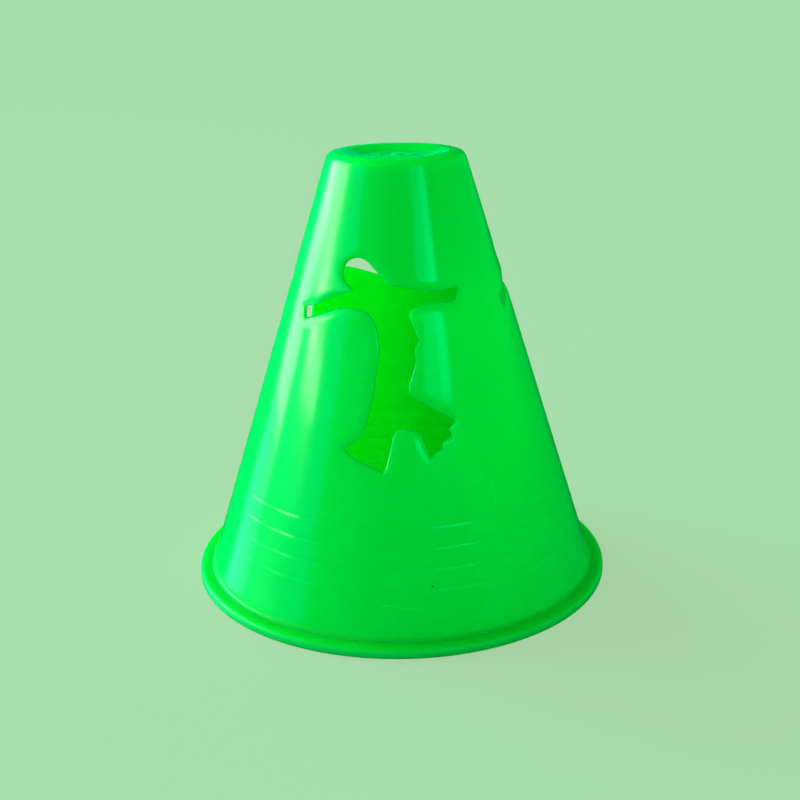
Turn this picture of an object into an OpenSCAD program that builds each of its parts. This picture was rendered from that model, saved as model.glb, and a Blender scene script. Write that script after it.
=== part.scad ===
// Sports marker cone: one thin moulded shell, open at the foot, with a dished crown,
// stepped rings low on the wall, a rolled brim, and skater windows round the wall.
// Millimetres, +Z up. The origin is on the ground, in the middle of the foot.
// The first window faces -Y.

/* [Cone] */
// Height from the ground to the rim of the crown
cone_h = 77; // [72:0.5:95]
// Outer diameter of the sloping wall, carried down to the ground
foot_d = 72; // [64:0.5:86]
// Outer diameter of the sloping wall, carried up to the crown
crown_d = 23.6; // [21:0.2:32]
// Thickness of the moulded wall, square to its slope
wall_t = 1; // [0.7:0.05:1.5]

/* [Crown] */
// Outside radius of the edge between the wall and the crown
crown_edge_r = 2.2; // [0.6:0.1:3]
// Width of the flat rim round the crown
crown_rim_w = 1.1; // [0.4:0.1:1.6]
// Depth of the dish below the rim
dish_depth = 0.85; // [0.3:0.05:1.6]
// Width of the dish's sloping side
dish_side_w = 3.5; // [1.5:0.1:4.5]
// Diameter of the gate mark in the middle of the dish
gate_d = 2; // [1:0.1:3]
// Height of the gate mark above the dish
gate_h = 0.3; // [0.1:0.05:0.6]

/* [Rings] */
// Number of stepped rings low on the wall
ring_count = 4; // [1:1:5]
// Height of the lowest ring
ring_z = 9.7; // [6:0.1:13]
// Height from one ring to the next
ring_pitch = 3.3; // [2:0.1:3.8]
// How far the wall steps out at each ring
ring_step = 0.2; // [0.1:0.02:0.4]
// Height of each step's sloping face
ring_drop = 0.45; // [0.2:0.05:0.8]

/* [Brim] */
// How far the brim stands out from the wall, measured at the ground
brim_w = 2.1; // [1.6:0.1:6]
// Height of the brim's top face
brim_h = 1.7; // [1.6:0.1:4]
// Outside radius of the brim's rolled edge
brim_edge_r = 0.85; // [0.2:0.05:1.5]
// Radius in the corner between the wall and the brim
brim_corner_r = 0.8; // [0.1:0.05:1.2]
// Radius of the small edges round the foot and inside the shell
soft_edge_r = 0.25; // [0.05:0.05:0.4]

/* [Windows] */
// Number of skater windows round the wall
window_count = 3; // [1:1:4]
// Height of the skater, from the lower skate to the top of the head
figure_h = 33.5; // [20:0.5:40]
// Reach of the skater, from hand to hand
figure_w = 26.4; // [16:0.4:28]
// Height of the lower skate above the ground
figure_z = 27.9; // [24:0.1:31]

/* [Hidden] */

// Fineness of circles and of worked-out arcs
round_fn = 180;
arc_step_angle = 12;
// The most of a side that one rounded corner may take
side_share = 0.49;
// How far a cutter runs past what it cuts
overrun = 2;

// The wall's slope, and its thickness measured level
foot_r = foot_d / 2;
crown_r = crown_d / 2;
wall_taper = atan((foot_r - crown_r) / cone_h);
wall_level_t = wall_t / cos(wall_taper);

// Levels and radii of the crown
dish_floor_z = cone_h - dish_depth;
crown_under_z = dish_floor_z - wall_t;
crown_flat_r = crown_r - crown_edge_r * (1 - sin(wall_taper)) / cos(wall_taper);
dish_rim_r = crown_flat_r - crown_rim_w;
dish_floor_r = dish_rim_r - dish_side_w;
dish_edge_r = dish_depth;
crown_inner_r = max(crown_edge_r - wall_t, soft_edge_r);

// Rings, brim and foot
ring_edge_r = ring_step;
brim_r = foot_r + brim_w;
brim_under_z = brim_h - wall_t;
lip_inner_r = brim_r - wall_t;
lip_corner_r = max(brim_edge_r - wall_t, soft_edge_r);

// Outer radius of the plain wall at height z, and inner radius at height z
function wall_r(z) = foot_r - z * tan(wall_taper);
function bore_r(z) = wall_r(z) - wall_level_t;
function ring_level(k) = ring_z + k * ring_pitch;

// The skater's head, as shares of the figure, and its neck, as shares of the head's radius from its middle
head_x_share = -0.140;
head_r_share = 0.078;
head_r = head_r_share * figure_h;
head_x = head_x_share * figure_w;
head_z = figure_h - head_r;
head_turn = 45;
neck_shares = [
    [-0.24, -0.99, 0.09],
    [-1.00, -0.46, 0.60],
];

// The rest of the skater, clockwise from the shoulder, as [share of the reach, share of the height,
// corner radius as a share of the height]. The first counts from the window's middle.
right_arm_shares = [
    [0.059, 0.878, 0.048],
    [0.201, 0.861, 0.200],
    [0.370, 0.838, 0.300],
    [0.477, 0.851, 0.008],
    [0.456, 0.784, 0.008],
    [0.330, 0.790, 0.200],
    [0.196, 0.766, 0.030],
];
right_side_shares = [
    [0.199, 0.716, 0.060],
    [0.262, 0.616, 0.020],
    [0.231, 0.578, 0.010],
    [0.248, 0.525, 0.120],
    [0.196, 0.378, 0.050],
];
raised_skate_shares = [
    [0.330, 0.306, 0.100],
    [0.500, 0.227, 0.014],
    [0.458, 0.199, 0.007],
    [0.481, 0.150, 0.015],
    [0.428, 0.140, 0.007],
    [0.424, 0.094, 0.014],
    [0.388, 0.094, 0.007],
    [0.356, 0.055, 0.010],
];
legs_shares = [
    [0.276, 0.203, 0.120],
    [0.130, 0.201, 0.040],
    [0.079, 0.000, 0.015],
    [-0.080, 0.045, 0.200],
    [-0.200, 0.098, 0.015],
    [-0.063, 0.173, 0.060],
    [-0.020, 0.320, 0.600],
];
left_side_shares = [
    [0.022, 0.590, 0.300],
    [-0.036, 0.752, 0.100],
    [-0.231, 0.763, 0.200],
    [-0.506, 0.675, 0.007],
    [-0.508, 0.737, 0.007],
    [-0.420, 0.752, 0.120],
    [-0.300, 0.813, 0.200],
];
body_shares = concat(
    right_arm_shares,
    right_side_shares,
    raised_skate_shares,
    legs_shares,
    left_side_shares
);

// Each corner is [x, y, radius]. Gives the points of the arc that rounds corner p between a and b.
function corner_arc(a, p, b, r) =
    let (
        to_a = a - p,
        to_b = b - p,
        u = to_a / norm(to_a),
        v = to_b / norm(to_b),
        half_open = acos(max(-1, min(1, u * v))) / 2,
        turn = 180 - 2 * half_open
    )
    r == 0 || turn < 1 ? [p] :
    let (
        reach = min(r / tan(half_open), side_share * min(norm(to_a), norm(to_b))),
        centre = p + (u + v) / norm(u + v) * reach / cos(half_open),
        from_c = p + u * reach - centre,
        to_c = p + v * reach - centre,
        steps = ceil(turn / arc_step_angle)
    )
    [for (i = [0 : steps])
        centre + (from_c * sin(turn - i * turn / steps) + to_c * sin(i * turn / steps)) / sin(turn)];

function xy(corner) = [corner[0], corner[1]];

function rounded(corners) =
    let (n = len(corners))
    [for (i = [0 : n - 1])
        each corner_arc(xy(corners[(i + n - 1) % n]), xy(corners[i]), xy(corners[(i + 1) % n]), corners[i][2])];

// The corners of the revolved section, from the top of the axis out, down and back up inside
crown_corners = [
    [0, dish_floor_z + gate_h, 0],
    [gate_d / 2 - gate_h, dish_floor_z + gate_h, gate_h],
    [gate_d / 2, dish_floor_z, gate_h],
    [dish_floor_r, dish_floor_z, dish_edge_r],
    [dish_rim_r, cone_h, dish_edge_r],
    [crown_r, cone_h, crown_edge_r],
];
ring_corners = [
    for (k = [ring_count - 1 : -1 : 0])
        each [
            [wall_r(ring_level(k)) - ring_step / 2, ring_level(k), ring_edge_r],
            [wall_r(ring_level(k) - ring_drop) + ring_step / 2, ring_level(k) - ring_drop, ring_edge_r],
        ]
];
brim_corners = [
    [wall_r(brim_h), brim_h, brim_corner_r],
    [brim_r, brim_h, brim_edge_r],
    [brim_r, 0, soft_edge_r],
    [lip_inner_r, 0, soft_edge_r],
    [lip_inner_r, brim_under_z, lip_corner_r],
    [bore_r(brim_under_z), brim_under_z, brim_corner_r],
];
inner_corners = [
    [bore_r(crown_under_z), crown_under_z, crown_inner_r],
    [0, crown_under_z, 0],
];

module shell_section() {
    polygon(rounded(concat(crown_corners, ring_corners, brim_corners, inner_corners)));
}

// Corners of the skater. Those of the head lie where the tangents at every head_turn degrees meet.
head_corners = [
    for (a = [-1.5 * head_turn, -0.5 * head_turn, 0.5 * head_turn])
        [head_x + head_r * sin(a) / cos(head_turn / 2), head_z + head_r * cos(a) / cos(head_turn / 2), head_r]
];
body_corners = [for (s = body_shares) [s[0] * figure_w, s[1] * figure_h, s[2] * figure_h]];
neck_corners = [for (s = neck_shares) [head_x + s[0] * head_r, head_z + s[1] * head_r, s[2] * head_r]];

// The skater standing on its lower skate, with the window's middle at x = 0
module skater_outline() {
    polygon(rounded(concat(head_corners, body_corners, neck_corners)));
}

// The straight pull that opens one window, level and square to its middle
module skater_window() {
    translate([0, 0, figure_z])
        rotate([90, 0, 0])
            linear_extrude(height = foot_r + overrun)
                skater_outline();
}

module cone_shell() {
    color([0, 0.78, 0.2])
        difference() {
            rotate_extrude($fn = round_fn)
                shell_section();
            for (k = [0 : window_count - 1]) {
                rotate([0, 0, k * 360 / window_count])
                    skater_window();
            }
        }
}

cone_shell();
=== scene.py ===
import math

import bpy
import bmesh
import numpy as np
from mathutils import Matrix, Vector
from mathutils.geometry import delaunay_2d_cdt


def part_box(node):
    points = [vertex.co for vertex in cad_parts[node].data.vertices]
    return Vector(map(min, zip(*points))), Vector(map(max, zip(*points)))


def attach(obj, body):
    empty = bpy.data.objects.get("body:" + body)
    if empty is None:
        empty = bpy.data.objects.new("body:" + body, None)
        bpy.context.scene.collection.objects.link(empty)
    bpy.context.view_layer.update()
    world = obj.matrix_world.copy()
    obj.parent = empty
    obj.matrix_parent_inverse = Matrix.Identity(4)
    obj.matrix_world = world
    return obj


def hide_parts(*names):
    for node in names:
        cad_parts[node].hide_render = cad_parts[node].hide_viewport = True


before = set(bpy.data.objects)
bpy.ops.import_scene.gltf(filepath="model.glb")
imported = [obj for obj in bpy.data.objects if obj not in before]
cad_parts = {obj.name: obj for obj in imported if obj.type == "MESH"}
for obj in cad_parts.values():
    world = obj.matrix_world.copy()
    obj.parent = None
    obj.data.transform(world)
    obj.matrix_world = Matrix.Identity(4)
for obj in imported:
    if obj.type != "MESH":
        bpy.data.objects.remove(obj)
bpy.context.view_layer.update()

# The part is one moulding, a sports marker cone. This script stands a fine mesh of it on the place of
# its CAD node, with rounded window edges, and gives it its glossy, faintly translucent green plastic.
# Lengths of its shape are millimetres, which Shell.put() turns into metres. Other lengths carry MM.
MM = 0.001
UP = Vector((0, 0, 1))

# Sizes that the frame gives
_, SHELL_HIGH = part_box("cone_shell")
CONE_H = SHELL_HIGH.z / MM
BRIM_R = SHELL_HIGH.x / MM

# Sizes that part.scad gives, repeated here
FOOT_R = 36.0
CROWN_R = 11.8
WALL_T = 1.0
CROWN_EDGE_R = 2.2
CROWN_RIM_W = 1.1
DISH_DEPTH = 0.85
DISH_SIDE_W = 3.5
GATE_R = 1.0
GATE_H = 0.3
RING_COUNT = 4
RING_Z = 9.7
RING_PITCH = 3.3
BRIM_H = 1.7
BRIM_EDGE_R = 0.85
BRIM_CORNER_R = 0.8
SOFT_EDGE_R = 0.25
WINDOW_COUNT = 3
FIGURE_H = 33.5
FIGURE_W = 26.4
FIGURE_Z = 27.9

# The rings, lower and more rounded than the solid's sharp ones. Going down, the wall dips in over
# RING_DIP_H and then steps out over RING_DROP. The inner face only steps.
RING_STEP = 0.024
RING_DROP = 0.4
RING_EDGE_R = 0.7
RING_DIP = 0.013
RING_DIP_H = 0.45
INNER_RING_STEP = 0.11

# A low bead round the gate mark
BEAD_R = 2.9
BEAD_W = 0.5
BEAD_H = 0.16
BEAD_EDGE_R = 0.5

# Values worked out from those sizes
WALL_TAPER = math.atan((FOOT_R - CROWN_R) / CONE_H)
WALL_LEVEL_T = WALL_T / math.cos(WALL_TAPER)
DISH_FLOOR_Z = CONE_H - DISH_DEPTH
CROWN_UNDER_Z = DISH_FLOOR_Z - WALL_T
CROWN_FLAT_R = CROWN_R - CROWN_EDGE_R * (1 - math.sin(WALL_TAPER)) / math.cos(WALL_TAPER)
DISH_RIM_R = CROWN_FLAT_R - CROWN_RIM_W
DISH_FLOOR_R = DISH_RIM_R - DISH_SIDE_W
CROWN_INNER_R = max(CROWN_EDGE_R - WALL_T, SOFT_EDGE_R)
BRIM_UNDER_Z = BRIM_H - WALL_T
LIP_INNER_R = BRIM_R - WALL_T
LIP_CORNER_R = max(BRIM_EDGE_R - WALL_T, SOFT_EDGE_R)
TOP_RING_Z = RING_Z + (RING_COUNT - 1) * RING_PITCH
TOP_RING_R = FOOT_R - TOP_RING_Z * math.tan(WALL_TAPER) - RING_STEP / 2
UPPER_TAPER = math.atan((TOP_RING_R - CROWN_R) / (CONE_H - TOP_RING_Z))

# How fine the mesh is, and the most of a side that one rounded corner may take. An arc turns ARC_STEP
# from point to point, or has a point every SHORT_ARC where that takes fewer.
COLUMNS = 240
ARC_STEP = math.radians(9)
SHORT_ARC = 0.12
SIDE_STEP = 0.6
SIDE_SHARE = 0.49
WELD_GAP = 0.002

# The band of wall that the windows lie in, one sector for each window, and how it is meshed
BAND_LOW_Z = 24.0
BAND_HIGH_Z = 65.0
BAND_STEP = 1.2
BAND_ROWS = math.ceil((BAND_HIGH_Z - BAND_LOW_Z) / BAND_STEP)
SECTOR_HALF = math.pi / WINDOW_COUNT
SECTOR_COLUMNS = COLUMNS // WINDOW_COUNT
UNROLL_R = FOOT_R / 2
FREE_GAP = BAND_STEP / 3
FLAT_TOLERANCE = 1e-6

# The windows' rolled edges: how far each reaches into the wall, and how far it sinks as a share of that.
# Beside a narrow tongue of plastic the reach is less, and it grows again along the outline.
OUTER_ROLL_W = 1.8
OUTER_ROLL_SHARE = 0.28
INNER_ROLL_W = 0.16
INNER_ROLL_SHARE = 1.0
ROLL_ROOM_SHARE = 0.8
ROLL_GROWTH = 0.5
ROLL_STEPS = 8
BEHIND_TOLERANCE = 0.001

# The skater, as in part.scad: shares of its reach, its height and its head
HEAD_X_SHARE = -0.140
HEAD_R_SHARE = 0.078
HEAD_TURN = math.radians(45)
NECK_SHARES = [
    (-0.24, -0.99, 0.09),
    (-1.00, -0.46, 0.60),
]
RIGHT_ARM_SHARES = [
    (0.059, 0.878, 0.048),
    (0.201, 0.861, 0.200),
    (0.370, 0.838, 0.300),
    (0.477, 0.851, 0.008),
    (0.456, 0.784, 0.008),
    (0.330, 0.790, 0.200),
    (0.196, 0.766, 0.030),
]
RIGHT_SIDE_SHARES = [
    (0.199, 0.716, 0.060),
    (0.262, 0.616, 0.020),
    (0.231, 0.578, 0.010),
    (0.248, 0.525, 0.120),
    (0.196, 0.378, 0.050),
]
RAISED_SKATE_SHARES = [
    (0.330, 0.306, 0.100),
    (0.500, 0.227, 0.014),
    (0.458, 0.199, 0.007),
    (0.481, 0.150, 0.015),
    (0.428, 0.140, 0.007),
    (0.424, 0.094, 0.014),
    (0.388, 0.094, 0.007),
    (0.356, 0.055, 0.010),
]
LEGS_SHARES = [
    (0.276, 0.203, 0.120),
    (0.130, 0.201, 0.040),
    (0.079, 0.000, 0.015),
    (-0.080, 0.045, 0.200),
    (-0.200, 0.098, 0.015),
    (-0.063, 0.173, 0.060),
    (-0.020, 0.320, 0.600),
]
LEFT_SIDE_SHARES = [
    (0.022, 0.590, 0.300),
    (-0.036, 0.752, 0.100),
    (-0.231, 0.763, 0.200),
    (-0.506, 0.675, 0.007),
    (-0.508, 0.737, 0.007),
    (-0.420, 0.752, 0.120),
    (-0.300, 0.813, 0.200),
]
BODY_SHARES = RIGHT_ARM_SHARES + RIGHT_SIDE_SHARES + RAISED_SKATE_SHARES + LEGS_SHARES + LEFT_SIDE_SHARES


def wall_r(z):
    """Outer radius of the plain wall at height z."""
    return FOOT_R - z * math.tan(WALL_TAPER)


def upper_r(z):
    """Outer radius of the wall above the rings, at height z."""
    return TOP_RING_R - (z - TOP_RING_Z) * math.tan(UPPER_TAPER)


def bore_r(z):
    """Inner radius of the plain wall at height z."""
    return wall_r(z) - WALL_LEVEL_T


def outward(angle):
    """Level unit vector away from the axis, at an angle counted from the first window's middle."""
    return Vector((math.sin(angle), -math.cos(angle), 0))


def left_of(side):
    """Unit normal on the left of a side's direction."""
    return Vector((-side.y, side.x)).normalized()


def rounded(corners, closed):
    """Points and left-hand normals along a path of (x, y, radius) corners, with an arc at each corner."""
    places = [Vector(c[:2]) for c in corners]
    count = len(corners)
    path = []
    for i, (_, _, radius) in enumerate(corners):
        here = places[i]
        if not closed and i in (0, count - 1):
            side = places[1] - places[0] if i == 0 else places[-1] - places[-2]
            path.append((here, left_of(side)))
            continue
        before = here - places[i - 1]
        after = places[(i + 1) % count] - here
        turn = before.angle(after)
        reach = min(radius * math.tan(turn / 2), SIDE_SHARE * min(before.length, after.length))
        start = here - before.normalized() * reach
        end = here + after.normalized() * reach
        inward = (after.normalized() - before.normalized()).normalized()
        centre = here + inward * reach / math.sin(turn / 2)
        arc = turn * reach / math.tan(turn / 2)
        steps = max(2, min(math.ceil(turn / ARC_STEP), math.ceil(arc / SHORT_ARC)))
        for k in range(steps + 1):
            a, b = math.sin(turn * (1 - k / steps)), math.sin(turn * k / steps)
            point = centre + ((start - centre) * a + (end - centre) * b) / math.sin(turn)
            normal = (left_of(before) * a + left_of(after) * b).normalized()
            path.append((point, normal))
    return path


def spaced(path, step):
    """The same closed path with points added along its sides, so that none is longer than step."""
    fine = []
    for (p, n), (q, m) in zip(path, path[1:] + path[:1]):
        parts = max(1, math.ceil((q - p).length / step))
        for k in range(parts):
            fine.append((p.lerp(q, k / parts), n.lerp(m, k / parts).normalized()))
    return fine


def ring_corners(radius_at, step, dip):
    """The rings' corners on one face of the wall, from the top ring down: a dip, then the step out."""
    corners = []
    for k in reversed(range(RING_COUNT)):
        level = RING_Z + k * RING_PITCH
        corners.append((radius_at(level + RING_DIP_H) - step / 2, level + RING_DIP_H, RING_EDGE_R))
        corners.append((radius_at(level) - step / 2 - dip, level, RING_EDGE_R))
        corners.append((radius_at(level - RING_DROP) + step / 2, level - RING_DROP, RING_EDGE_R))
    return corners


def section_corners():
    """The revolved section's three stretches, from the top of the axis out, down and back up inside.

    They are the crown, then the foot with both faces of the lower wall, then the crown's underside.
    The band of windows comes between them.
    """
    crown = [
        (0, DISH_FLOOR_Z + GATE_H, 0),
        (GATE_R - GATE_H, DISH_FLOOR_Z + GATE_H, GATE_H),
        (GATE_R, DISH_FLOOR_Z, GATE_H),
        (BEAD_R - BEAD_W, DISH_FLOOR_Z, BEAD_EDGE_R),
        (BEAD_R, DISH_FLOOR_Z + BEAD_H, BEAD_EDGE_R),
        (BEAD_R + BEAD_W, DISH_FLOOR_Z, BEAD_EDGE_R),
        (DISH_FLOOR_R, DISH_FLOOR_Z, DISH_DEPTH),
        (DISH_RIM_R, CONE_H, DISH_DEPTH),
        (CROWN_R, CONE_H, CROWN_EDGE_R),
        (upper_r(BAND_HIGH_Z), BAND_HIGH_Z, 0),
    ]
    foot = [
        (upper_r(BAND_LOW_Z), BAND_LOW_Z, 0),
        *ring_corners(wall_r, RING_STEP, RING_DIP),
        (wall_r(BRIM_H), BRIM_H, BRIM_CORNER_R),
        (BRIM_R, BRIM_H, BRIM_EDGE_R),
        (BRIM_R, 0, SOFT_EDGE_R),
        (LIP_INNER_R, 0, SOFT_EDGE_R),
        (LIP_INNER_R, BRIM_UNDER_Z, LIP_CORNER_R),
        (bore_r(BRIM_UNDER_Z), BRIM_UNDER_Z, BRIM_CORNER_R),
        *reversed(ring_corners(bore_r, INNER_RING_STEP, 0)),
        (bore_r(BAND_LOW_Z), BAND_LOW_Z, 0),
    ]
    under = [
        (bore_r(BAND_HIGH_Z), BAND_HIGH_Z, 0),
        (bore_r(CROWN_UNDER_Z), CROWN_UNDER_Z, CROWN_INNER_R),
        (0, CROWN_UNDER_Z, 0),
    ]
    return crown, foot, under


def skater_path():
    """The skater's outline in the plane of its window: points, and normals that point into the plastic."""
    head_r = HEAD_R_SHARE * FIGURE_H
    head_x = HEAD_X_SHARE * FIGURE_W
    head_z = FIGURE_H - head_r
    tip = head_r / math.cos(HEAD_TURN / 2)
    head = [
        (head_x + tip * math.sin(a * HEAD_TURN), head_z + tip * math.cos(a * HEAD_TURN), head_r)
        for a in (-1.5, -0.5, 0.5)
    ]
    body = [(x * FIGURE_W, z * FIGURE_H, r * FIGURE_H) for x, z, r in BODY_SHARES]
    neck = [(head_x + x * head_r, head_z + z * head_r, r * head_r) for x, z, r in NECK_SHARES]
    corners = [(x, z + FIGURE_Z, r) for x, z, r in head + body + neck]
    return spaced(rounded(corners, True), SIDE_STEP)


class Shell:
    """Collects the vertices, their normals and the faces of the shell."""

    def __init__(self):
        self.points, self.normals, self.faces = [], [], []

    def put(self, point, normal):
        """Takes in one vertex, given in millimetres, and gives its number."""
        self.points.append(Vector(point) * MM)
        self.normals.append(Vector(normal).normalized())
        return len(self.points) - 1

    def revolve(self, corners):
        """One stretch of the section, turned about the axis."""
        rows = []
        for point, normal in rounded(corners, False):
            row = []
            for c in range(COLUMNS):
                out = outward(2 * math.pi * c / COLUMNS)
                row.append(self.put(out * point.x + UP * point.y, out * normal.x + UP * normal.y))
            rows.append(row)
        for upper, lower in zip(rows, rows[1:]):
            for c in range(COLUMNS):
                d = (c + 1) % COLUMNS
                self.faces.append((upper[c], lower[c], lower[d], upper[d]))

    def strip(self, first, second):
        """Faces between two closed loops of as many points."""
        count = len(first)
        for i in range(count):
            j = (i + 1) % count
            self.faces.append((first[i], second[i], second[j], first[j]))


def wall_normal(place, sign):
    """Normal of the wall at a place, outward for sign 1 and inward for sign -1."""
    taper = UPPER_TAPER if sign > 0 else WALL_TAPER
    out = Vector((place.x, place.y, 0)).normalized() * math.cos(taper)
    return (out + UP * math.sin(taper)) * sign


def on_wall(u, z, radius_at):
    """The place on the wall that lies at u across and z up, seen square to the first window."""
    return Vector((u, -math.sqrt(radius_at(z) ** 2 - u * u), z))


def roll_widths(outline, most):
    """How far the window's rolled edge reaches into the wall at each point of the outline."""
    places = np.array([tuple(point) for point, _ in outline])
    rooms = []
    for point, into in outline:
        across = places - np.array(tuple(point))
        depth = across @ np.array(tuple(into))
        ahead = depth > BEHIND_TOLERANCE
        room = ((across[ahead] ** 2).sum(axis=1) / (2 * depth[ahead])).min() if ahead.any() else most
        rooms.append(min(most, ROLL_ROOM_SHARE * room))
    rooms = np.array(rooms)
    steps = np.hypot(*(np.roll(places, -1, axis=0) - places).T)
    along = np.concatenate([[0], np.cumsum(steps)])
    gaps = np.abs(along[:-1, None] - along[None, :-1])
    gaps = np.minimum(gaps, along[-1] - gaps)
    return (rooms[None, :] + ROLL_GROWTH * gaps).min(axis=1)


def edge_loops(shell, outline, widths, face, turn):
    """The window's rolled edge on one face of the wall, as loops of vertices from the wall to the cut."""
    sign, radius_at, _, share = face
    loops = []
    for k in range(ROLL_STEPS + 1):
        a = math.pi / 2 * k / ROLL_STEPS
        loop = []
        for (point, into), width in zip(outline, widths):
            flat = point + into * width * (1 - math.sin(a))
            place = on_wall(flat.x, flat.y, radius_at)
            cut = Vector((-into.x, 0, -into.y))
            normal = wall_normal(place, sign) * math.cos(a) + cut * share * math.sin(a)
            place.y += sign * share * width * (1 - math.cos(a))
            loop.append(shell.put(turn @ place, turn @ normal))
        loops.append(loop)
    return loops


def window_band(shell, outline):
    """The wall between the band's two levels: one sector for each window, with the window's edges."""
    faces = [
        # outward 1 or inward -1, radius at a height, most reach of the rolled edge, how far it sinks
        (1, upper_r, OUTER_ROLL_W, OUTER_ROLL_SHARE),
        (-1, bore_r, INNER_ROLL_W, INNER_ROLL_SHARE),
    ]
    for window in range(WINDOW_COUNT):
        turn = Matrix.Rotation(2 * math.pi * window / WINDOW_COUNT, 3, "Z")
        cuts = []
        for face in faces:
            sign, radius_at, most, _ = face
            widths = roll_widths(outline, most)
            loops = edge_loops(shell, outline, widths, face, turn)
            for first, second in zip(loops, loops[1:]):
                if sign > 0:
                    shell.strip(first, second)
                else:
                    shell.strip(second, first)
            rim = [point + into * width for (point, into), width in zip(outline, widths)]
            wall_sector(shell, rim, loops[0], radius_at, sign, turn)
            cuts.append(loops[-1])
        shell.strip(*cuts)


def wall_sector(shell, rim, loop, radius_at, sign, turn):
    """One sector of the wall's outer or inner face, triangulated round the window's edge loop."""
    rim = [(math.asin(point.x / radius_at(point.y)) * UNROLL_R, point.y) for point in rim]
    rim_xy = np.array(rim)
    places, ids = [], []
    for r in range(BAND_ROWS + 1):
        z = BAND_LOW_Z + (BAND_HIGH_Z - BAND_LOW_Z) * r / BAND_ROWS
        for c in range(SECTOR_COLUMNS + 1):
            a = -SECTOR_HALF + 2 * SECTOR_HALF * c / SECTOR_COLUMNS
            at_border = r in (0, BAND_ROWS) or c in (0, SECTOR_COLUMNS)
            if not at_border and not free_of(rim_xy, a * UNROLL_R, z):
                continue
            place = outward(a) * radius_at(z) + UP * z
            places.append((a * UNROLL_R, z))
            ids.append(shell.put(turn @ place, turn @ wall_normal(place, sign)))
    start = len(places)
    places += rim
    ids += loop
    count = len(rim)
    sides = [(start + i, start + (i + 1) % count) for i in range(count)]
    flat = [Vector(p) for p in places]
    verts, _, faces, origins, _, _ = delaunay_2d_cdt(flat, sides, [], 0, FLAT_TOLERANCE)
    source = [o[0] for o in origins]
    for face in faces:
        middle = sum((Vector(verts[i]) for i in face), Vector((0, 0))) / len(face)
        if inside(rim_xy, middle.x, middle.y):
            continue
        corners = [ids[source[i]] for i in face]
        a, b, c = (Vector(verts[i]) for i in face[:3])
        if ((b - a).cross(c - a) > 0) != (sign > 0):
            corners.reverse()
        shell.faces.append(tuple(corners))


def inside(loop, x, y):
    """Whether a point is inside a closed loop."""
    ax, ay = loop[:, 0], loop[:, 1]
    bx, by = np.roll(ax, -1), np.roll(ay, -1)
    spans = (ay > y) != (by > y)
    cross = ax[spans] + (y - ay[spans]) * (bx[spans] - ax[spans]) / (by[spans] - ay[spans])
    return int((cross > x).sum()) % 2 == 1


def free_of(loop, x, y):
    """Whether a grid point lies outside a loop and not too near it."""
    gap = np.hypot(loop[:, 0] - x, loop[:, 1] - y).min()
    return gap > FREE_GAP and not inside(loop, x, y)


def make_shell():
    """The whole moulding as one mesh, standing where its CAD node stands."""
    shell = Shell()
    for corners in section_corners():
        shell.revolve(corners)
    window_band(shell, skater_path())
    mesh = bpy.data.meshes.new("moulded_shell")
    mesh.from_pydata([tuple(p) for p in shell.points], [], shell.faces)
    weld(mesh, shell.normals)
    obj = bpy.data.objects.new("moulded_shell", mesh)
    bpy.context.scene.collection.objects.link(obj)
    return obj


def weld(mesh, normals):
    """Joins the stretches where they meet and gives every vertex its worked-out normal."""
    work = bmesh.new()
    work.from_mesh(mesh)
    keep = work.verts.layers.float_vector.new("worked_normal")
    for vert, normal in zip(work.verts, normals):
        vert[keep] = normal
    bmesh.ops.remove_doubles(work, verts=work.verts, dist=WELD_GAP * MM)
    for face in work.faces:
        face.smooth = True
    work.to_mesh(mesh)
    kept = [tuple(vert[keep]) for vert in work.verts]
    work.free()
    mesh.attributes.remove(mesh.attributes["worked_normal"])
    mesh.normals_split_custom_set_from_vertices(kept)


# The plastic. Scales count features per metre. A range gives the noise values between which an effect
# sets in, and a detail how many finer layers the noise has.
BODY_GREEN = (0.0, 0.84, 0.04, 1)
PALE_GREEN = (0.0, 0.9, 0.06, 1)
# The pale green of scuffs, also used for the painted highlight round the gate mark
SCUFF_AND_HIGHLIGHT_GREEN = (0.0, 1.0, 0.13, 1)
SPECK_GREEN = (0.0, 0.45, 0.01, 1)
# Painted shade: a darker green for the corner where the wall meets the brim
CORNER_SHADE_GREEN = (0.0, 0.6, 0.012, 1)
BRIM_GREEN = (0.0, 0.66, 0.08, 1)
SUBSURFACE_REACH = (0.3, 1.0, 0.65)
SUBSURFACE_SCALE = 3 * MM
PLASTIC_IOR = 1.58
PLASTIC_GLOSS = 0.5
SPECULAR_TINT = (0.8, 1.0, 0.95, 1)
GLOSS_ROUGHNESS = 0.14
CLOUD_SCALE = 45
CLOUD_DETAIL = 3
CLOUD_RANGE = (0.35, 0.7)
STREAK_SCALE = (260, 260, 22)
STREAK_DETAIL = 2
STREAK_RANGE = (0.4, 0.75)
STREAK_SHARE = 0.5
SMUDGE_SCALE = 32
SMUDGE_DETAIL = 4
SMUDGE_RANGE = (0.5, 0.7)
SMUDGE_ROUGHNESS = 0.22
SCUFF_SCALE = 62
SCUFF_W = 0.22 * MM
SCUFF_BEND = 12 * MM
SCUFF_BEND_SCALE = 124
SCUFF_PATCH_SCALE = 90
SCUFF_PATCH_DETAIL = 1
SCUFF_PATCH_RANGE = (0.6, 0.72)
SCUFF_LOW_Z = 8 * MM
SCUFF_HIGH_Z = 45 * MM
SCUFF_HIGH_SHARE = 0.15
SPECK_SCALE = 110
SPECK_R = 0.3 * MM
SPECK_CORE_R = 0.15 * MM
SPECK_SHARE = 0.16
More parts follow.
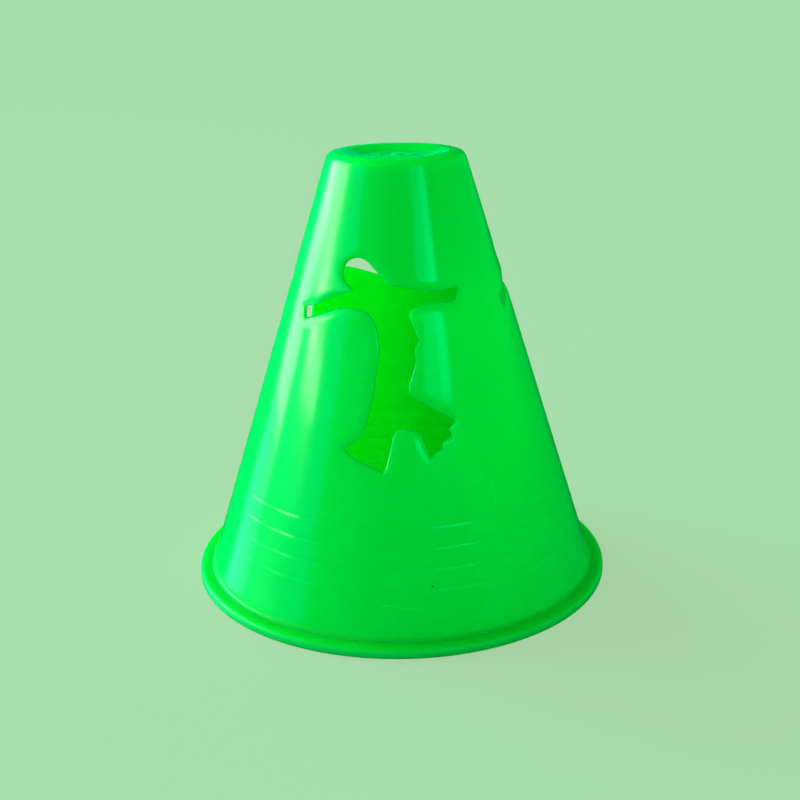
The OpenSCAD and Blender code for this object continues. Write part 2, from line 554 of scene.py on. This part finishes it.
# Painted highlight with stress-whitening round the gate mark: full inside the small radius, gone at the
# outer one
BLUSH_AND_HIGHLIGHT_SMALL_R = 0.8 * MM
BLUSH_AND_HIGHLIGHT_R = 1.9 * MM
CORNER_LOW_Z = 1.35 * MM
CORNER_MIDDLE_Z = 1.6 * MM
CORNER_HIGH_Z = 2.4 * MM
DULL_LOW_Z = 2.5 * MM
DULL_HIGH_Z = 3.3 * MM
DULL_ROUGHNESS = 0.35
DULL_GLOSS = 0.2
WAVE_SCALE = 52
WAVE_DETAIL = 1
WAVE_DEPTH = 0.35 * MM
TURNING_SCALE = (14, 14, 520)
TURNING_DETAIL = 2
TURNING_DEPTH = 0.012 * MM
GRAIN_SCALE = 1400
GRAIN_DETAIL = 1
GRAIN_DEPTH = 0.002 * MM


def add(tree, kind, inputs, **settings):
    """Adds a node with its settings. Each input is linked if it is given a socket, and set otherwise."""
    node = tree.nodes.new(kind)
    for name, value in settings.items():
        setattr(node, name, value)
    for name, value in inputs.items():
        if isinstance(value, bpy.types.NodeSocket):
            tree.links.new(value, node.inputs[name])
        else:
            node.inputs[name].default_value = value
    return node


def noise(tree, place, scale, detail):
    """A cloudy value. The scale is one number for all ways, or three for the axes."""
    if isinstance(scale, tuple):
        place = add(tree, "ShaderNodeMapping", {"Vector": place, "Scale": scale}).outputs[0]
        scale = 1
    inputs = {"Vector": place, "Scale": scale, "Detail": detail}
    return add(tree, "ShaderNodeTexNoise", inputs).outputs["Fac"]


def ramp(tree, value, low, high, start=0.0, end=1.0):
    """The value, carried evenly from low..high to start..end and held there outside."""
    inputs = {"Value": value, "From Min": low, "From Max": high, "To Min": start, "To Max": end}
    return add(tree, "ShaderNodeMapRange", inputs).outputs[0]


def product(tree, a, b):
    """The two values multiplied."""
    return add(tree, "ShaderNodeMath", {0: a, 1: b}, operation="MULTIPLY").outputs[0]


def blend(tree, share, below, above):
    """Colour below, covered by colour above where the share is high."""
    node = add(tree, "ShaderNodeMix", {"Factor": share}, data_type="RGBA")
    for socket, colour in ((node.inputs[6], below), (node.inputs[7], above)):
        if isinstance(colour, bpy.types.NodeSocket):
            tree.links.new(colour, socket)
        else:
            socket.default_value = colour
    return node.outputs[2]


def scuffs(tree, place):
    """Thin bent scratches in patches, most of them low on the wall."""
    bend = add(tree, "ShaderNodeTexNoise", {"Vector": place, "Scale": SCUFF_BEND_SCALE}).outputs["Color"]
    bent = add(tree, "ShaderNodeVectorMath", {0: bend, "Scale": SCUFF_BEND}, operation="SCALE").outputs[0]
    moved = add(tree, "ShaderNodeVectorMath", {0: place, 1: bent}, operation="ADD").outputs[0]
    inputs = {"Vector": moved, "Scale": SCUFF_SCALE}
    cells = add(tree, "ShaderNodeTexVoronoi", inputs, feature="DISTANCE_TO_EDGE")
    lines = ramp(tree, cells.outputs["Distance"], 0.0, SCUFF_W * SCUFF_SCALE, 1.0, 0.0)
    patches = ramp(tree, noise(tree, place, SCUFF_PATCH_SCALE, SCUFF_PATCH_DETAIL), *SCUFF_PATCH_RANGE)
    height = add(tree, "ShaderNodeSeparateXYZ", {0: place}).outputs["Z"]
    low_down = ramp(tree, height, SCUFF_LOW_Z, SCUFF_HIGH_Z, 1.0, SCUFF_HIGH_SHARE)
    return product(tree, product(tree, lines, patches), low_down)


def specks(tree, place):
    """Small round marks in a few of many cells."""
    cells = add(tree, "ShaderNodeTexVoronoi", {"Vector": place, "Scale": SPECK_SCALE})
    core, rim = SPECK_CORE_R * SPECK_SCALE, SPECK_R * SPECK_SCALE
    dots = ramp(tree, cells.outputs["Distance"], core, rim, 1.0, 0.0)
    chance = add(tree, "ShaderNodeSeparateXYZ", {0: cells.outputs["Color"]}).outputs["X"]
    kept = add(tree, "ShaderNodeMath", {0: chance, 1: SPECK_SHARE}, operation="LESS_THAN").outputs[0]
    return product(tree, dots, kept)


def relief(tree, place, scuffed):
    """Sink waves, faint turning marks, grain and scratches, one over the other."""
    normal = None
    for height, depth in (
        (noise(tree, place, WAVE_SCALE, WAVE_DETAIL), WAVE_DEPTH),
        (noise(tree, place, TURNING_SCALE, TURNING_DETAIL), TURNING_DEPTH),
        (noise(tree, place, GRAIN_SCALE, GRAIN_DETAIL), GRAIN_DEPTH),
        (scuffed, -TURNING_DEPTH),
    ):
        inputs = {"Height": height, "Distance": depth}
        if normal:
            inputs["Normal"] = normal
        normal = add(tree, "ShaderNodeBump", inputs).outputs[0]
    return normal


def brim_masks(tree, place):
    """Where the brim is, the corner over it that is painted darker as shade, and where the gloss is dull.
    """
    height = add(tree, "ShaderNodeSeparateXYZ", {0: place}).outputs["Z"]
    brim = ramp(tree, height, CORNER_LOW_Z, CORNER_HIGH_Z, 1.0, 0.0)
    above = ramp(tree, height, CORNER_LOW_Z, CORNER_MIDDLE_Z)
    # The corner mask places painted shade where the wall meets the brim
    corner = product(tree, above, ramp(tree, height, CORNER_MIDDLE_Z, CORNER_HIGH_Z, 1.0, 0.0))
    return brim, corner, ramp(tree, height, DULL_LOW_Z, DULL_HIGH_Z, 1.0, 0.0)


def gate_blush_and_highlight(tree, place):
    """Where the plastic is painted paler round the gate mark, as stress-whitening and as a painted
    highlight. Only the crown is so near the axis.
    """
    level = add(tree, "ShaderNodeVectorMath", {0: place, 1: (1, 1, 0)}, operation="MULTIPLY").outputs[0]
    away = add(tree, "ShaderNodeVectorMath", {0: level}, operation="LENGTH").outputs["Value"]
    return ramp(tree, away, BLUSH_AND_HIGHLIGHT_SMALL_R, BLUSH_AND_HIGHLIGHT_R, 1.0, 0.0)


def green_plastic():
    """The moulding's one material: glossy, faintly translucent green, with marks, wear, painted corner
    shade and a painted gate highlight.
    """
    mat = bpy.data.materials.new("green_polyethylene")
    mat.use_nodes = True
    tree = mat.node_tree
    place = add(tree, "ShaderNodeTexCoord", {}).outputs["Object"]
    clouds = ramp(tree, noise(tree, place, CLOUD_SCALE, CLOUD_DETAIL), *CLOUD_RANGE)
    streaks = ramp(tree, noise(tree, place, STREAK_SCALE, STREAK_DETAIL), *STREAK_RANGE, 0.0, STREAK_SHARE)
    smudged = ramp(tree, noise(tree, place, SMUDGE_SCALE, SMUDGE_DETAIL), *SMUDGE_RANGE)
    scuffed = scuffs(tree, place)
    colour = blend(tree, clouds, BODY_GREEN, PALE_GREEN)
    colour = blend(tree, streaks, colour, BODY_GREEN)
    colour = blend(tree, scuffed, colour, SCUFF_AND_HIGHLIGHT_GREEN)
    # Paler round the gate mark: stress-whitening and a painted highlight
    colour = blend(tree, gate_blush_and_highlight(tree, place), colour, SCUFF_AND_HIGHLIGHT_GREEN)
    colour = blend(tree, specks(tree, place), colour, SPECK_GREEN)
    brim, corner, dull = brim_masks(tree, place)
    colour = blend(tree, brim, colour, BRIM_GREEN)
    # Painted shade darkens the corner over the brim
    colour = blend(tree, corner, colour, CORNER_SHADE_GREEN)
    roughness = ramp(tree, smudged, 0.0, 1.0, GLOSS_ROUGHNESS, SMUDGE_ROUGHNESS)
    rougher = product(tree, dull, DULL_ROUGHNESS)
    roughness = add(tree, "ShaderNodeMath", {0: roughness, 1: rougher}, operation="MAXIMUM").outputs[0]
    gloss = ramp(tree, dull, 0.0, 1.0, PLASTIC_GLOSS, DULL_GLOSS)
    bsdf = tree.nodes["Principled BSDF"]
    tree.links.new(colour, bsdf.inputs["Base Color"])
    tree.links.new(roughness, bsdf.inputs["Roughness"])
    tree.links.new(relief(tree, place, scuffed), bsdf.inputs["Normal"])
    tree.links.new(gloss, bsdf.inputs["Specular IOR Level"])
    bsdf.inputs["IOR"].default_value = PLASTIC_IOR
    bsdf.inputs["Specular Tint"].default_value = SPECULAR_TINT
    bsdf.inputs["Subsurface Weight"].default_value = 1.0
    bsdf.inputs["Subsurface Radius"].default_value = SUBSURFACE_REACH
    bsdf.inputs["Subsurface Scale"].default_value = SUBSURFACE_SCALE
    return mat


# The camera, fitted to the photo. Its azimuth counts from the first window's middle to the right.
CAMERA_AZIMUTH = math.radians(10)
CAMERA_BACK = 210.66 * MM
CAMERA_UP = 102.93 * MM
CAMERA_PITCH = math.radians(18.70)
CAMERA_ROLL = math.radians(-0.82)
CAMERA_FOCAL_PX = 1210.2
CAMERA_SHIFT_PX = 0.63
CAMERA_SENSOR_W = 36.0
CAMERA_NEAR = 10 * MM
CAMERA_FAR = 50000 * MM
PHOTO_PX = 800


def make_camera():
    """The scene's camera, where the photo was taken from."""
    data = bpy.data.cameras.new("camera")
    data.sensor_width = CAMERA_SENSOR_W
    data.lens = CAMERA_FOCAL_PX * CAMERA_SENSOR_W / PHOTO_PX
    data.shift_x = CAMERA_SHIFT_PX / PHOTO_PX
    data.clip_start = CAMERA_NEAR
    data.clip_end = CAMERA_FAR
    cam = bpy.data.objects.new("camera", data)
    cam.location = outward(CAMERA_AZIMUTH) * CAMERA_BACK + UP * CAMERA_UP
    aim = (
        Matrix.Rotation(CAMERA_AZIMUTH, 3, "Z")
        @ Matrix.Rotation(math.pi / 2 - CAMERA_PITCH, 3, "X")
        @ Matrix.Rotation(CAMERA_ROLL, 3, "Z")
    )
    cam.rotation_euler = aim.to_euler()
    bpy.context.scene.collection.objects.link(cam)
    bpy.context.scene.camera = cam


# The stage. Each lamp is a soft panel that spans these azimuths, counted from the camera's to the right,
# and these elevations, all in degrees and seen from the origin.
LAMP_DISTANCE = 1200 * MM
ROOM_LIGHT = (0.0, 0.12, 1.0)
WINDOW_LIGHT = (0.95, 1.0, 0.7)
SOFT_GREEN_LIGHT = (0.0, 1.0, 0.47)
DEEP_GREEN_LIGHT = (0.0, 1.0, 0.15)
COOL_GREEN_LIGHT = (0.0, 1.0, 0.7)
LAMPS = [
    # name, azimuths, elevations, radiance, colour
    ("left_wall", (-128, -56), (0, 42), 1.35, ROOM_LIGHT),
    ("left_corner", (-150, -128), (0, 42), 0.4, ROOM_LIGHT),
    ("left_near_wall", (-56, -26), (0, 42), 0.15, ROOM_LIGHT),
    ("left_window", (-125, -104), (0, 14), 3.8, WINDOW_LIGHT),
    ("left_narrow_window", (-93, -74), (8.5, 14), 5.0, WINDOW_LIGHT),
    ("left_window_head", (-122, -84), (11.5, 30), 4.6, WINDOW_LIGHT),
    ("back_left", (-160, -115), (32, 65), 0.15, ROOM_LIGHT),
    ("back_low", (-182, -150), (2, 18), 0.35, COOL_GREEN_LIGHT),
    ("right_window", (36, 45), (15, 30), 4.6, SOFT_GREEN_LIGHT),
    ("right_window_side", (22, 35), (15, 30), 2.2, SOFT_GREEN_LIGHT),
    ("right_wall", (46, 160), (0, 30), 0.6, DEEP_GREEN_LIGHT),
]

# The world's light: an even part, and broad glows that fade out at a border given as the cosine of the
# angle from their middle. Gloss mirrors an even light instead, which is dimmer towards the back.
AMBIENT = 0.36
AMBIENT_LIGHT = (0.3, 1.0, 0.9, 1)
GLOWS = [
    # name, azimuth, elevation, cosine at its border, strength, colour
    ("front_glow", -38, 45, 0.3, 0.4, (0.3, 1.0, 0.8, 1)),
    ("back_glow", -128, 6, 0.72, 9.5, (0.0, 1.0, 0.75, 1)),
]
GLOSS_LIGHT = (0.0, 1.0, 0.3, 1)
FRONT_IN_GLOSS = 0.5
BACK_IN_GLOSS = 0.1
BACK_AZIMUTH = 180
BACK_ELEVATION = 40
BACK_COSINES = (0.2, 0.9)

# The floor. The camera sees FLOOR_GREEN with light and shadow on it, under an even FLOOR_GLOW. Matt
# surfaces get FLOOR_BOUNCE from it, and gloss sees a dull mirror. The backdrop is FLOOR_GREEN too.
FLOOR_HALF = 900 * MM
FLOOR_GREEN = (0.397, 0.723, 0.413, 1)
FLOOR_GLOW = (0.465, 0.69, 0.41, 1)
FLOOR_GLOW_SHARE = 0.8
FLOOR_BOUNCE = (0.33, 0.62, 0.38, 1)
FLOOR_MIRROR = (0.1, 0.35, 0.6, 1)
FLOOR_MIRROR_ROUGHNESS = 0.2


def direction(azimuth, elevation):
    """Unit vector towards a place at these angles in degrees, the azimuth counted from the camera's."""
    level = outward(CAMERA_AZIMUTH + math.radians(azimuth))
    rise = math.radians(elevation)
    return level * math.cos(rise) + UP * math.sin(rise)


def make_lamps():
    """The soft panels of light, each facing the origin."""
    for name, azimuths, elevations, radiance, colour in LAMPS:
        width = 2 * LAMP_DISTANCE * math.tan(math.radians(azimuths[1] - azimuths[0]) / 2)
        height = 2 * LAMP_DISTANCE * math.tan(math.radians(elevations[1] - elevations[0]) / 2)
        place = direction(sum(azimuths) / 2, sum(elevations) / 2) * LAMP_DISTANCE
        data = bpy.data.lights.new(name, "AREA")
        data.shape = "RECTANGLE"
        data.size, data.size_y = width, height
        data.energy = radiance * math.pi * width * height
        data.color = colour
        lamp = bpy.data.objects.new(name, data)
        lamp.location = place
        lamp.rotation_euler = (-place).to_track_quat("-Z", "Y").to_euler()
        bpy.context.scene.collection.objects.link(lamp)


def make_world():
    """Soft light with broad glows for matt surfaces, an even light for gloss, and the pale backdrop."""
    world = bpy.data.worlds.new("studio")
    bpy.context.scene.world = world
    world.use_nodes = True
    tree = world.node_tree
    way = add(tree, "ShaderNodeTexCoord", {}).outputs["Generated"]
    path = add(tree, "ShaderNodeLightPath", {}).outputs
    matt = background(tree, AMBIENT_LIGHT, AMBIENT)
    for name, azimuth, elevation, border, strength, colour in GLOWS:
        near = nearness(tree, way, azimuth, elevation)
        glow = background(tree, colour, ramp(tree, near, border, 1.0, 0.0, strength), label=name)
        matt = add(tree, "ShaderNodeAddShader", {0: matt, 1: glow}).outputs[0]
    back = nearness(tree, way, BACK_AZIMUTH, BACK_ELEVATION)
    gloss = background(tree, GLOSS_LIGHT, ramp(tree, back, *BACK_COSINES, FRONT_IN_GLOSS, BACK_IN_GLOSS))
    pale = background(tree, FLOOR_GREEN, 1.0)
    lit = add(tree, "ShaderNodeMixShader", {0: path["Is Glossy Ray"], 1: matt, 2: gloss}).outputs[0]
    seen = add(tree, "ShaderNodeMixShader", {0: path["Is Camera Ray"], 1: lit, 2: pale}).outputs[0]
    tree.links.new(seen, tree.nodes["World Output"].inputs["Surface"])


def background(tree, colour, strength, **settings):
    """A background shader of this colour and strength."""
    return add(tree, "ShaderNodeBackground", {"Color": colour, "Strength": strength}, **settings).outputs[0]


def nearness(tree, way, azimuth, elevation):
    """The cosine of the angle between the way looked and a direction in degrees."""
    inputs = {0: way, 1: direction(azimuth, elevation)}
    return add(tree, "ShaderNodeVectorMath", inputs, operation="DOT_PRODUCT").outputs["Value"]


def pale_floor():
    """To the camera a pale colour that keeps some shadow, to matt surfaces plain, and to gloss a mirror."""
    mat = bpy.data.materials.new("pale_floor")
    mat.use_nodes = True
    tree = mat.node_tree
    tree.nodes.remove(tree.nodes["Principled BSDF"])
    path = add(tree, "ShaderNodeLightPath", {}).outputs
    bounce = add(tree, "ShaderNodeBsdfDiffuse", {"Color": FLOOR_BOUNCE}).outputs[0]
    shade = add(tree, "ShaderNodeBsdfDiffuse", {"Color": FLOOR_GREEN}).outputs[0]
    glow = add(tree, "ShaderNodeEmission", {"Color": FLOOR_GLOW}).outputs[0]
    inputs = {"Color": FLOOR_MIRROR, "Roughness": FLOOR_MIRROR_ROUGHNESS}
    mirror = add(tree, "ShaderNodeBsdfGlossy", inputs).outputs[0]
    seen = add(tree, "ShaderNodeMixShader", {0: FLOOR_GLOW_SHARE, 1: shade, 2: glow}).outputs[0]
    matt = add(tree, "ShaderNodeMixShader", {0: path["Is Camera Ray"], 1: bounce, 2: seen}).outputs[0]
    full = add(tree, "ShaderNodeMixShader", {0: path["Is Glossy Ray"], 1: matt, 2: mirror}).outputs[0]
    tree.links.new(full, tree.nodes["Material Output"].inputs["Surface"])
    return mat


def make_floor():
    """The level floor that the cone stands on."""
    half = FLOOR_HALF
    corners = [(-half, -half, 0), (half, -half, 0), (half, half, 0), (-half, half, 0)]
    mesh = bpy.data.meshes.new("floor")
    mesh.from_pydata(corners, [], [(0, 1, 2, 3)])
    mesh.materials.append(pale_floor())
    floor = bpy.data.objects.new("floor", mesh)
    bpy.context.scene.collection.objects.link(floor)


def make_moulding():
    """The cone's one piece, in its plastic."""
    body = make_shell()
    body.data.materials.append(green_plastic())
    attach(body, "root")
    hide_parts("cone_shell")


make_camera()
make_moulding()
make_lamps()
make_world()
make_floor()
bpy.context.scene.view_settings.view_transform = "Standard"
